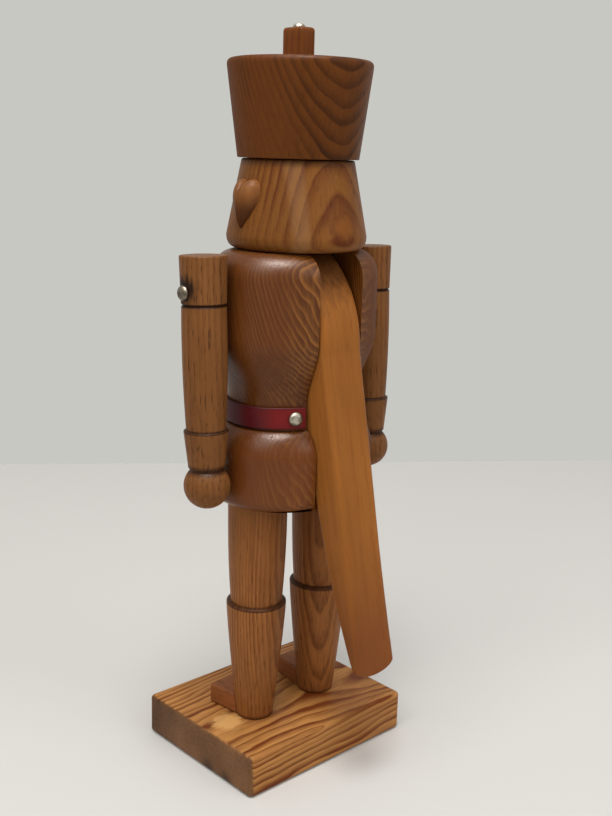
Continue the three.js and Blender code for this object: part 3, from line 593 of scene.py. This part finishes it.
def torso_levels():
    """Heights of the torso's rows: close together round its edges, wider apart between them."""
    quarter = lambda count: np.linspace(0, np.pi / 2, count)
    return np.unique(np.round(np.concatenate([
        hem * (1 - np.cos(quarter(8))), np.linspace(hem, hips_high, 9),
        hips_high + hips_over * np.sin(quarter(14)), np.linspace(hips_high + hips_over, waist_high, 5),
        np.linspace(waist_high, chest_low, 25), np.linspace(chest_low, shoulder_low, 10), [slot_sill],
        shoulder_low + shoulder_high * np.sin(quarter(14))]), 4))


def torso_shape():
    """An oval |x/a|^n + |y/b|^n = 1 that changes with height, with a slot sawn in from behind.
    The outside, the slot's walls, floor and sill, and the two ends are grids that share their edges."""
    z = torso_levels()
    up = z[:, None]
    sill_row = int(np.searchsorted(z, slot_sill))
    a, b = torso_half(z, *torso_half_x), torso_half(z, *torso_half_y)
    start = np.arcsin((slot_half / a) ** (oval / 2))[:, None]
    angle = start + np.linspace(0, 1, 34) * (np.pi / 2 - start)
    x = a[:, None] * np.sin(angle) ** (2 / oval)
    y = b[:, None] * np.maximum(np.cos(angle), 0) ** (2 / oval)
    x[:, 0], y[:, -1] = slot_half, 0
    left_side = np.concatenate([layer(x, -y, up), layer(x, y, up)[:, ::-1][:, 1:]], 1)

    width = np.linspace(-slot_half, slot_half, 15)
    rows, upper = np.arange(sill_row + 1), np.arange(sill_row, len(z))
    web_y = -b[rows, None] * (1 - (np.abs(width) / a[rows, None]) ** oval) ** (1 / oval)
    web_y[:, [0, -1]] = -y[rows, :1]
    web = layer(width, web_y, up[rows])

    deep = throat_back + (throat_up - np.minimum(up, slot_sill)) * slot_lean - slot_room
    share = np.linspace(0, 1, 10)
    rear = layer(slot_half, y[:, :1] + (deep - y[:, :1]) * share, up)
    fore = layer(slot_half, deep[upper] + (-y[upper, :1] - deep[upper]) * share, up[upper])
    floor = layer(-width, deep[rows], up[rows])

    def end_cap(columns_x, *depths, level):
        """A flat end: at each column the depth runs evenly from each given depth to the next."""
        runs = [near + (far - near) * share[:, None] for near, far in zip(depths, depths[1:])]
        return layer(columns_x, np.concatenate([runs[0], *(r[1:] for r in runs[1:])]), level)

    def lobe_cap(row):
        near, far = -y[row], y[row]
        part = (deep[row] - near[0]) / (far[0] - near[0])
        return end_cap(x[row], near, near + (far - near) * part, far, level=z[row])

    sill_top = end_cap(width, web_y[-1], np.full(15, deep[sill_row]), level=slot_sill)
    web_foot = end_cap(width, web_y[0], np.full(15, deep[0]), level=0)[:, ::-1]
    one_side = [left_side, rear, fore, lobe_cap(-1), lobe_cap(0)[:, ::-1]]
    other_side = [patch[:, ::-1] * np.array([-1, 1, 1]) for patch in one_side]
    return weld([*one_side, *other_side, web, floor, sill_top, web_foot])


points, faces = torso_shape()
block = (points + [0, body_back, hips_z], faces)
put("slotted_torso", block, torso_wood, ["torso"], bevel=0.7)


# Belt

def oval_curve(half_x, half_y, angle):
    """Points on the waist's oval and its outward normals, at angles from straight back towards the left."""
    half = np.array([half_x, half_y])
    turn = np.stack([np.sin(angle), np.cos(angle)], 1)
    point = half * np.sign(turn) * np.abs(turn) ** (2 / oval)
    slope = np.sign(point) * np.abs(point / half) ** (oval - 1) / half
    return point, slope / np.linalg.norm(slope, axis=1)[:, None]


def belt_shape():
    """A strap's rounded section carried along the waist's oval, from one side of the slot to the other."""
    start = np.arcsin(((slot_half + 1.5) / belt_x) ** (oval / 2))
    path, normal = oval_curve(belt_x, belt_y, np.linspace(start, 2 * np.pi - start, 161))
    section = rounded_rectangle(0.78, belt_half, 0.6)
    sag = 0.15 * np.sin(np.linspace(0, 9 * np.pi, len(path)))[:, None]
    plan = path[:, None] + normal[:, None] * section[:, 0][None, :, None]
    height = np.broadcast_to(section[:, 1] + belt_up, plan.shape[:2]) + sag
    grid = np.concatenate([plan, height[..., None]], -1)
    rows, columns = grid.shape[:2]
    faces = grid_faces(rows, columns, wrap=True)[:, ::-1].tolist()
    ends = [list(range(columns)), list(range((rows - 1) * columns, rows * columns))[::-1]]
    return grid.reshape(-1, 3) + [0, body_back, hips_z], faces + ends


put("belt_strap", belt_shape(), belt_leather, ["belt"])


# Nails

def nail_shape(head, shank, length, thick=1.9):
    """A domed head on a round, pointed shank, along +Z with the head's underside at the origin."""
    dome = bow((head, 0.25), (0.86 * head, thick), (0, thick), 14)
    stem = [[0, -length], [shank, -length + 2 * shank], [shank, 0],
            [head * 0.9, 0], [head, 0.1], [head, 0.25]]
    return turned(np.concatenate([stem, dome, [[0, thick]]]), sides=48)


def nail(name, head, shank, length, direction, place, node, material=nail_metal):
    shape = aimed(nail_shape(head, shank, length), direction, place)
    put(name, shape, material, [node], sharp=50)


def head_radius(up):
    """The head's radius at a height over its underside, above the rounded edge."""
    return head_wide - head_slope * (up - head_round)


strap_x, strap_y = belt_x + belt_thick, belt_y + belt_thick
strap_nail_angle = np.arcsin((19.3 / strap_x) ** (oval / 2))
strap_spot, strap_normal = oval_curve(strap_x, strap_y, np.array([strap_nail_angle]))
eye_up, eye_turn = 27, 21
for side, sign in BOTH_SIDES:
    out = np.array([sign * strap_normal[0, 0], strap_normal[0, 1], 0])
    at = np.array([sign * strap_spot[0, 0], strap_spot[0, 1] + body_back, hips_z + belt_up]) + out * 0.1
    nail(f"{side}_strap_nail", 3.3, 0.9, 7, out, at, f"{side}_belt_nail")
    at = (sign * (arm_x + cuff_wide + 0.2), nail_y, nail_up)
    nail(f"{side}_arm_nail", 3.3, 1.3, 37, (sign, 0, 0), at, f"{side}_shoulder_nail", arm_nail_metal)
    s, c = np.sin(np.radians(eye_turn * sign)), np.cos(np.radians(eye_turn * sign))
    radius = head_radius(eye_up)
    out = unit(s, -c, head_slope)
    at = np.array([s * radius, body_back - c * radius, head_low + eye_up]) + out * 0.2
    nail(f"{side}_eye_nail", 2.6, 0.9, 7, out, at, f"{side}_eye")
nail("peg_top_nail", 2.8, 0.9, 7, (0, 0, 1), peg_axis + [0, 0, hat_high + 13.6], "peg_nail")


# Arms

def arm_profile(sleeve_length):
    """Ball hand, cuff, sleeve and cap, from the bottom up and measured from the nail."""
    top = nail_drop
    cuff_high = top - cap_drop - sleeve_length
    cuff_low = cuff_high - cuff_long
    wrist = 7.4
    swing = np.linspace(-np.pi / 2, np.arccos(wrist / hand), 40)
    ball = np.stack([hand * np.cos(swing), hand * np.sin(swing) + cuff_low - 0.9 - 7.45], 1)
    ball[0, 0] = 0
    cuff = fillet([(wrist, cuff_low - 0.9, 0), (wrist, cuff_low, 0.2), (8.2, cuff_low, 0.35),
                   (cuff_wide, cuff_high, 0.7), (8.85, cuff_high, 0.3), (8.9, cuff_high + 0.9, 0)])
    swell = bow((8.9, cuff_high + 0.9), (10.4, cuff_high + 27), (9.9, top - 23.0), 24)
    cap = fillet([(9.9, top - 23, 0), (9.9, top - cap_drop, 0.6), (9.0, top - groove_drop, 0.2),
                  (9.95, top - 20.8, 0.6), (10.5, top, 0.8), (0, top, 0)])
    return dense(np.concatenate([ball, cuff, swell, cap]), 2.5)


for side, sign in BOTH_SIDES:
    points, faces = turned(arm_profile(sleeve[side]), (0, arm_y - nail_y, 0), 96)
    c, s = np.cos(arm_swing), np.sin(arm_swing)
    hung = points @ np.array([[1, 0, 0], [0, c, s], [0, -s, c]]) + [sign * arm_x, nail_y, nail_up]
    put(f"{side}_turned_arm", (hung, faces), arm_wood[side], [f"{side}_arm"],
        body=f"{side}_arm")


# Lever

def lever_outline():
    """The lever's side view, back and up from the torso's underside: tail, nape, crown, jaw, chin, throat."""
    back = bow((tail_back, tail_end), (47.5, -0.5), (nape_back, nape_up), 40)
    nape = bow((nape_back, nape_up), (33.0, 98.5), (12.5, jaw_top), 20)
    jaw = fillet([(12.5, jaw_top, 0), (jaw_front, jaw_top, 2.5),
                  (jaw_front, jaw_low, 2.5), (-12, jaw_low, 0)])
    throat = bow((-12, jaw_low), (5.5, jaw_low), (throat_back, throat_up), 14)
    front = bow((tail_front, tail_front_up), (46.4, -47.8), (tail_back - 3, tail_end), 20)
    line = np.concatenate([
        [[tail_back, tail_end]], back, [[nape_back, nape_up]], nape, jaw, throat,
        [[throat_back, throat_up], [tail_front, tail_front_up]], front,
        [[tail_back - 3, tail_end], [tail_back - 2.4, tail_end - 0.5], [tail_back - 0.6, tail_end - 0.5]]])
    return dense(np.concatenate([line, line[:1]]), 2.0)[:-1]


def lever_shape():
    """A sawn board: its side view set at stations across, drawn in along its normals near both sides so that
    the edges are round, and never by more than a share of its thickness there. The tail's end is an ellipse
    from behind."""
    line = lever_outline()
    step = np.roll(line, -1, axis=0) - np.roll(line, 1, axis=0)
    inward = np.stack([-step[:, 1], step[:, 0]], 1) / np.linalg.norm(step, axis=1)[:, None]
    flat = lever_half - lever_ease
    angle = np.linspace(0, np.pi / 2, 9)
    reach, inset = flat + lever_ease * np.cos(angle), lever_ease * (1 - np.sin(angle))
    station = np.concatenate([-reach, np.linspace(-flat, flat, 9)[1:-1], reach[::-1]])
    drawn = np.concatenate([inset, np.zeros(7), inset[::-1]])
    thin = np.where(line[:, 1] > 60, 1.0, np.clip((line[:, 1] + 76) / 60, 0.12, 1))
    side = line[None] + drawn[:, None, None] * (thin[:, None] * inward)[None]
    end = 6 * (1 - np.sqrt(1 - (station / 13) ** 2))
    near_end = np.clip(1 - (line[:, 1] + 73.5) / 40, 0, 1) ** 2
    side = side + (end[:, None] * near_end)[..., None] * np.array([-0.2, 0.98])
    grid = layer(station[:, None], side[..., 0], side[..., 1])
    rows, columns = grid.shape[:2]
    faces = grid_faces(rows, columns, wrap=True).tolist()
    ends = [list(range(columns))[::-1], list(range((rows - 1) * columns, rows * columns))]
    return grid.reshape(-1, 3) + [0, body_back, hips_z], faces + ends


put("sawn_lever", lever_shape(), lever_wood, ["lever"], body="lever", sharp=60)


# Head, ears, nose, hat and peg

def head_shape():
    """A turned cone with a well-rounded lower edge, less the mouth's square notch."""
    foot, round_top = head_wide - 5, head_low + head_round
    low = bow((foot, head_low), (head_wide, head_low), (head_wide, round_top), 14)
    cone = fillet([(head_wide, round_top, 0), (head_narrow, head_high, 1.0), (0, head_high, 0)])
    line = np.concatenate([[[0, head_low], [foot, head_low]], low, cone])
    points, faces = slab(slot_half, 32, head_low - 6, head_low + 9, 0.4, 0.4)
    notch = (points + [0, body_back - 8 - 32, 0], faces)
    return carve(turned(dense(line, 2.0), body_axis, 160), notch)


put("turned_head", head_shape(), head_wood, ["head"], sharp=32)


def on_head(outline, thick, crest, middle_up, facing, power=1.8, skirt=3.5):
    """A dome over an outline: its rings shrink towards the crest as (1 - h^p)^(1/p) while they rise, it is
    set square to the head's cone, and its skirt runs down into the wood."""
    rise = np.sin(np.linspace(0, np.pi / 2, 16))[1:-1]
    scale = np.concatenate([[1, 1], (1 - rise**power) ** (1 / power)])
    height = np.concatenate([[-skirt, 0], rise * thick])
    plan = (outline - [0, crest])[None] * scale[:, None, None] + [0, crest]
    grid = layer(plan[..., 0], plan[..., 1], height[:, None])
    count, last = len(outline), (len(height) - 1) * len(outline)
    faces = grid_faces(len(height), count, wrap=True).tolist()
    here, after = np.arange(count), (np.arange(count) + 1) % count
    top = np.stack([last + here, last + after, np.full(count, grid.size // 3)], 1).tolist()
    points = np.concatenate([grid.reshape(-1, 3), [[0, crest, thick]]])
    lean = np.arctan(head_slope)
    out = np.array([0, -np.cos(lean), np.sin(lean)])
    up = np.array([0, np.sin(lean), np.cos(lean)])
    points = points @ np.array([[1, 0, 0], up, out]) + [0, -head_radius(middle_up), head_low + middle_up]
    c, s = np.cos(facing), np.sin(facing)
    points = points @ np.array([[c, s, 0], [-s, c, 0], [0, 0, 1]]) + body_axis
    return points, [*faces, list(range(count))[::-1], *top]


def heart(width, height):
    """A heart with its point down: two cubic arcs on each side, drawn about its middle, anticlockwise."""
    half = np.array([width, height]) / 2
    t = np.linspace(0, 1, 25)[:-1, None]
    share = ((1 - t) ** 3, 3 * t * (1 - t) ** 2, 3 * t**2 * (1 - t), t**3)
    notch = [0, 0.66]
    arcs = np.array([[[0, -1], [0.35, -0.6], [1, -0.15], [1, 0.4]],
                     [[1, 0.4], [1, 1.05], [0.25, 1.15], notch]])
    right = np.concatenate([sum(w * (p * half) for w, p in zip(share, arc)) for arc in arcs])
    left = np.concatenate([[notch * half], right[1:][::-1] * [-1, 1]])
    return np.concatenate([right, left])


def egg(width, height):
    """An egg with its wide end down: an ellipse whose width shrinks evenly as it rises."""
    angle = np.arange(48) * 2 * np.pi / 48
    across = width / 2 * np.cos(angle) * (1 - 0.25 * np.sin(angle))
    return np.stack([across, height / 2 * np.sin(angle)], 1)


for side, sign in BOTH_SIDES:
    ear = on_head(heart(15, 22), 6, 3, 9.3 + 11, sign * (np.pi / 2 - 0.045))
    put(f"{side}_heart_ear", ear, ear_wood, [f"{side}_ear"], sharp=60)
put("egg_nose", on_head(egg(9, 13), 8, 0, 14.5 + 6.5, 0), head_wood, ["nose"], sharp=60)


def hat_shape():
    """A turned cone that widens to a rounded top, less the peg's mortise."""
    line = fillet([(0, hat_low, 0), (hat_narrow, hat_low, 0.4),
                   (hat_wide, hat_high, 3.2), (0, hat_high, 0)], 10)
    points, faces = slab(peg_half_x + 0.1, peg_half_y + 0.1, hat_high - 12.3, hat_high + 6, 0.3, 0.9)
    return carve(turned(dense(line, 2.0), body_axis, 160), (points + peg_axis, faces))


put("turned_hat", hat_shape(), hat_wood, ["hat"], sharp=32)
points, faces = slab(peg_half_x, peg_half_y, hat_high - peg_deep, hat_high + peg_up, 1.7, 0.9)
put("peg_stick", (points + peg_axis, faces), peg_wood, ["hat_peg"])


# Pieces that stay hidden keep their CAD shapes

hidden = {"lever_pin": steel, "hat_dowel": dowel_wood}
for side, _ in BOTH_SIDES:
    hidden |= {f"{side}_leg_screw": steel, f"{side}_hip_dowel": dowel_wood, f"{side}_neck_dowel": dowel_wood}
for node, material in hidden.items():
    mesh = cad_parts[node].data
    mesh.materials.clear()
    mesh.materials.append(material)


# Camera, fitted to a picture of 612 x 816, and the floor, which ends at that picture's wall line

picture_width, picture_height = 612, 816
azimuth, elevation, roll = np.radians([136.917, 13.582, 1.564])
focal_px = 1084.244
eye = np.array([336.519, 376.384, 292.162]) * METRE
level = np.cos(elevation)
back_axis = np.array([np.sin(azimuth) * level, -np.cos(azimuth) * level, np.sin(elevation)])
level_right = unit(*np.cross([0, 0, 1], back_axis))
level_up = np.cross(back_axis, level_right)
right_axis = np.cos(roll) * level_right + np.sin(roll) * level_up
up_axis = -np.sin(roll) * level_right + np.cos(roll) * level_up

lens = bpy.data.cameras.new("camera")
lens.sensor_width, lens.lens = 36, 36 * focal_px / picture_height
camera = bpy.data.objects.new("camera", lens)
bpy.context.scene.collection.objects.link(camera)
turn = np.eye(4)
turn[:3, :3] = np.stack([right_axis, up_axis, back_axis], 1)
turn[:3, 3] = eye
camera.matrix_world = Matrix(turn.tolist())
bpy.context.scene.camera = camera


def on_floor(column, row):
    """The point of the floor that shows at a place in the picture."""
    across, up = (column - picture_width / 2) / focal_px, (picture_height / 2 - row) / focal_px
    ray = across * right_axis + up * up_axis - back_axis
    return eye + ray * (eye[2] / -ray[2])


def sheet_of(name, corners, material):
    mesh = bpy.data.meshes.new(name)
    mesh.from_pydata(corners, [], [[0, 1, 2, 3]])
    mesh.materials.append(material)
    piece = bpy.data.objects.new(name, mesh)
    bpy.context.scene.collection.objects.link(piece)


wall_line_left, wall_line_right = 464, 460
floor_half, floor_deep, floor_drop = 3, 4, 0.0003
edge_left, edge_right = on_floor(0, wall_line_left), on_floor(picture_width, wall_line_right)
wide = unit(*(edge_right - edge_left)) * floor_half
forward = np.cross(wide, [0, 0, 1])
forward *= floor_deep / np.linalg.norm(forward)
far_edge = (edge_left + edge_right) / 2 - [0, 0, floor_drop]
floor_corners = (far_edge - wide + forward, far_edge + wide + forward, far_edge + wide, far_edge - wide)
sheet_of("floor", [p.tolist() for p in floor_corners], plain("pale floor", "d7d6d3"))


# Light: three lamps, a fourth that lights only the varnish, a soft sky and a pale wall all round

def lamp(name, forward, right, up, size, power, tint):
    """A round lamp that looks at the figure's middle from so far forward, to the right and up, in metres."""
    light = bpy.data.lights.new(name, "AREA")
    light.shape, light.size, light.energy, light.color = "DISK", size, power, tint
    made = bpy.data.objects.new(name, light)
    bpy.context.scene.collection.objects.link(made)
    offset = toward_camera * forward + level_right * right + [0, 0, up]
    made.location = Vector(middle + offset)
    made.rotation_mode = "QUATERNION"
    made.rotation_quaternion = Vector(-offset).to_track_quat("-Z", "Y")
    return made


middle = np.array([0, 0.007, 0.18])
toward_camera = unit(back_axis[0], back_axis[1], 0)
lamp("key", 0.8, -0.5, 1.1, 0.9, 6.6, (1, 0.97, 0.92))
lamp("fill", 0.6, 1.1, 0.8, 0.9, 4.5, (1, 0.99, 0.97))
lamp("top", 0.4, 0, 1.25, 0.45, 7.8, (1, 0.99, 0.97))
lamp("sheen", 0.3, 0, 1.3, 0.85, 36, (1, 0.97, 0.93)).visible_diffuse = False

world = bpy.data.worlds.new("studio")
world.use_nodes = True
tree = world.node_tree
sky = tree.nodes["Background"]
sky.inputs["Color"].default_value = (1.0, 0.98, 0.95, 1)
sky.inputs["Strength"].default_value = 0.5
pale_wall = tree.nodes.new("ShaderNodeBackground")
pale_wall.inputs["Color"].default_value = colour("c8c8c3")
seen_by = tree.nodes.new("ShaderNodeLightPath").outputs
shown = seen_by["Is Camera Ray"]
for ray in ("Is Glossy Ray", "Is Transmission Ray"):
    either = tree.nodes.new("ShaderNodeMath")
    either.operation = "MAXIMUM"
    tree.links.new(shown, either.inputs[0])
    tree.links.new(seen_by[ray], either.inputs[1])
    shown = either.outputs[0]
both = tree.nodes.new("ShaderNodeMixShader")
tree.links.new(shown, both.inputs[0])
tree.links.new(sky.outputs[0], both.inputs[1])
tree.links.new(pale_wall.outputs[0], both.inputs[2])
tree.links.new(both.outputs[0], tree.nodes["World Output"].inputs[0])
bpy.context.scene.world = world
bpy.context.scene.view_settings.view_transform = "Standard"
